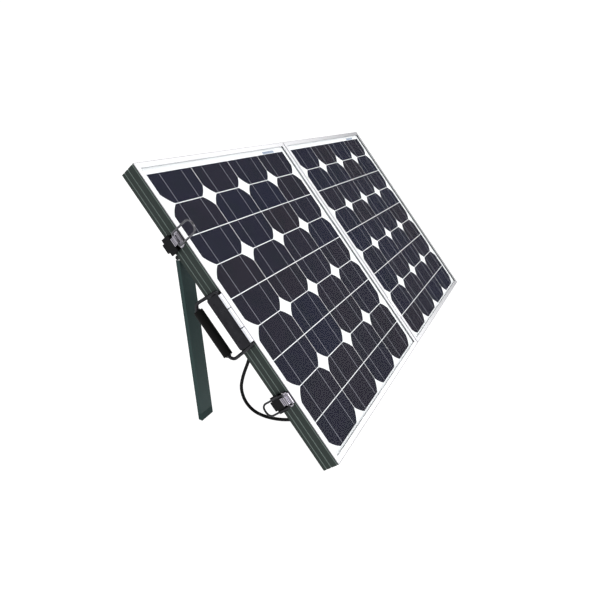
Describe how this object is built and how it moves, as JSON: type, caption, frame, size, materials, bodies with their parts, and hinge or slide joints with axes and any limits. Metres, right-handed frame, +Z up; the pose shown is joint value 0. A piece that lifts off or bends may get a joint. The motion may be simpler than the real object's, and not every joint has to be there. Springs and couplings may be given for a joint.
{
  "type": "solar suitcase kit",
  "caption": "Folding suitcase-style solar kit: framed glass panels hinged edge to edge, with draw latches, a carry handle, folding rear legs and a rear charge controller.",
  "frame": {"origin": "middle of the footprint of the open kit, on the ground", "axes": "+X along the open panels' long side, from the handle's side to the far one; +Y from the bottom edge towards the legs and the raised back; +Z up"},
  "size_m": [1.1178, 0.4604, 0.4603],
  "materials": {
    "dark_anodised": "dark green-grey anodised",
    "bright_aluminium": "satin mill finish",
    "glass": "low-iron, polished",
    "solar_cells": "blue-black silicon under film",
    "black_rubber": "matt",
    "chrome": "polished",
    "black_plastic": "fine texture",
    "zinc_steel": "zinc plated"
  },
  "bodies": {
    "left_panel": {"cable": "black_rubber", "controller_case": "black_plastic", "controller_cover": "black_plastic", "controller_gland": "black_plastic", "handle_plate": "chrome", "junction_gland": "black_plastic", "left_cell_sheet": "solar_cells", "left_corner_key_bottom_left": "bright_aluminium", "left_corner_key_bottom_right": "bright_aluminium", "left_corner_key_top_left": "bright_aluminium", "left_corner_key_top_right": "bright_aluminium", "left_glass": "glass", "left_junction_box": "black_plastic", "left_junction_lid": "black_plastic", "left_leg_bolt": "zinc_steel", "left_leg_bracket": "zinc_steel", "left_rail_bottom": "dark_anodised", "left_rail_left": "dark_anodised", "left_rail_right": "dark_anodised", "left_rail_top": "dark_anodised", "lower_hinge_leaf_left": "zinc_steel", "lower_hinge_pin": "zinc_steel", "lower_latch_base": "chrome", "lower_latch_pin": "zinc_steel", "upper_hinge_leaf_left": "zinc_steel", "upper_hinge_pin": "zinc_steel", "upper_latch_base": "chrome", "upper_latch_pin": "zinc_steel"},
    "right_panel": {"lower_catch": "chrome", "lower_hinge_leaf_right": "zinc_steel", "right_cell_sheet": "solar_cells", "right_corner_key_bottom_left": "bright_aluminium", "right_corner_key_bottom_right": "bright_aluminium", "right_corner_key_top_left": "bright_aluminium", "right_corner_key_top_right": "bright_aluminium", "right_glass": "glass", "right_junction_box": "black_plastic", "right_junction_lid": "black_plastic", "right_leg_bolt": "zinc_steel", "right_leg_bracket": "zinc_steel", "right_rail_bottom": "dark_anodised", "right_rail_left": "dark_anodised", "right_rail_right": "dark_anodised", "right_rail_top": "dark_anodised", "upper_catch": "chrome", "upper_hinge_leaf_right": "zinc_steel"},
    "left_leg": {"left_leg": "dark_anodised", "left_leg_foot": "black_rubber"},
    "right_leg": {"right_leg": "dark_anodised", "right_leg_foot": "black_rubber"},
    "left_wing_nut": {"left_wing_nut": "zinc_steel"},
    "right_wing_nut": {"right_wing_nut": "zinc_steel"},
    "upper_lever": {"upper_latch_lever": "chrome", "upper_latch_thumb_tab": "black_plastic"},
    "lower_lever": {"lower_latch_lever": "chrome", "lower_latch_thumb_tab": "black_plastic"},
    "upper_wire": {"upper_latch_wire": "chrome"},
    "lower_wire": {"lower_latch_wire": "chrome"},
    "handle": {"handle_bail": "chrome", "handle_grip": "black_rubber"}
  },
  "joints": [
    {"name": "panel_fold", "type": "hinge", "parent": "left_panel", "child": "right_panel", "pos_m": [0.00515, -0.0128, 0.24296], "axis": [0, -0.7071, -0.7071], "range_deg": [0, 180]},
    {"name": "left_leg_fold", "type": "hinge", "parent": "left_panel", "child": "left_leg", "pos_m": [-0.52235, 0.1142, 0.31325], "axis": [-1, 0, 0], "range_deg": [0, 33.7]},
    {"name": "right_leg_fold", "type": "hinge", "parent": "right_panel", "child": "right_leg", "pos_m": [0.53265, 0.1142, 0.31325], "axis": [-1, 0, 0], "range_deg": [0, 33.7]},
    {"name": "left_wing_nut_turn", "type": "hinge", "parent": "left_panel", "child": "left_wing_nut", "pos_m": [-0.5006, 0.1142, 0.31325], "axis": [1, 0, 0], "continuous": true},
    {"name": "right_wing_nut_turn", "type": "hinge", "parent": "right_panel", "child": "right_wing_nut", "pos_m": [0.5109, 0.1142, 0.31325], "axis": [1, 0, 0], "continuous": true},
    {"name": "upper_lever_swing", "type": "hinge", "parent": "left_panel", "child": "upper_lever", "pos_m": [-0.5476, 0.10359, 0.35426], "axis": [0, -0.7071, -0.7071], "range_deg": [-90, 0]},
    {"name": "upper_wire_swing", "type": "hinge", "parent": "upper_lever", "child": "upper_wire", "pos_m": [-0.5525, 0.10783, 0.35002], "axis": [0, -0.7071, -0.7071], "range_deg": [-3, 174]},
    {"name": "lower_lever_swing", "type": "hinge", "parent": "left_panel", "child": "lower_lever", "pos_m": [-0.5476, -0.12834, 0.12233], "axis": [0, -0.7071, -0.7071], "range_deg": [-90, 0]},
    {"name": "lower_wire_swing", "type": "hinge", "parent": "lower_lever", "child": "lower_wire", "pos_m": [-0.5525, -0.1241, 0.11809], "axis": [0, 0.7071, 0.7071], "range_deg": [0, 175]},
    {"name": "handle_swing", "type": "hinge", "parent": "left_panel", "child": "handle", "pos_m": [-0.5497, -0.01379, 0.23971], "axis": [0, 0.7071, 0.7071], "range_deg": [-4, 150]}
  ]
}
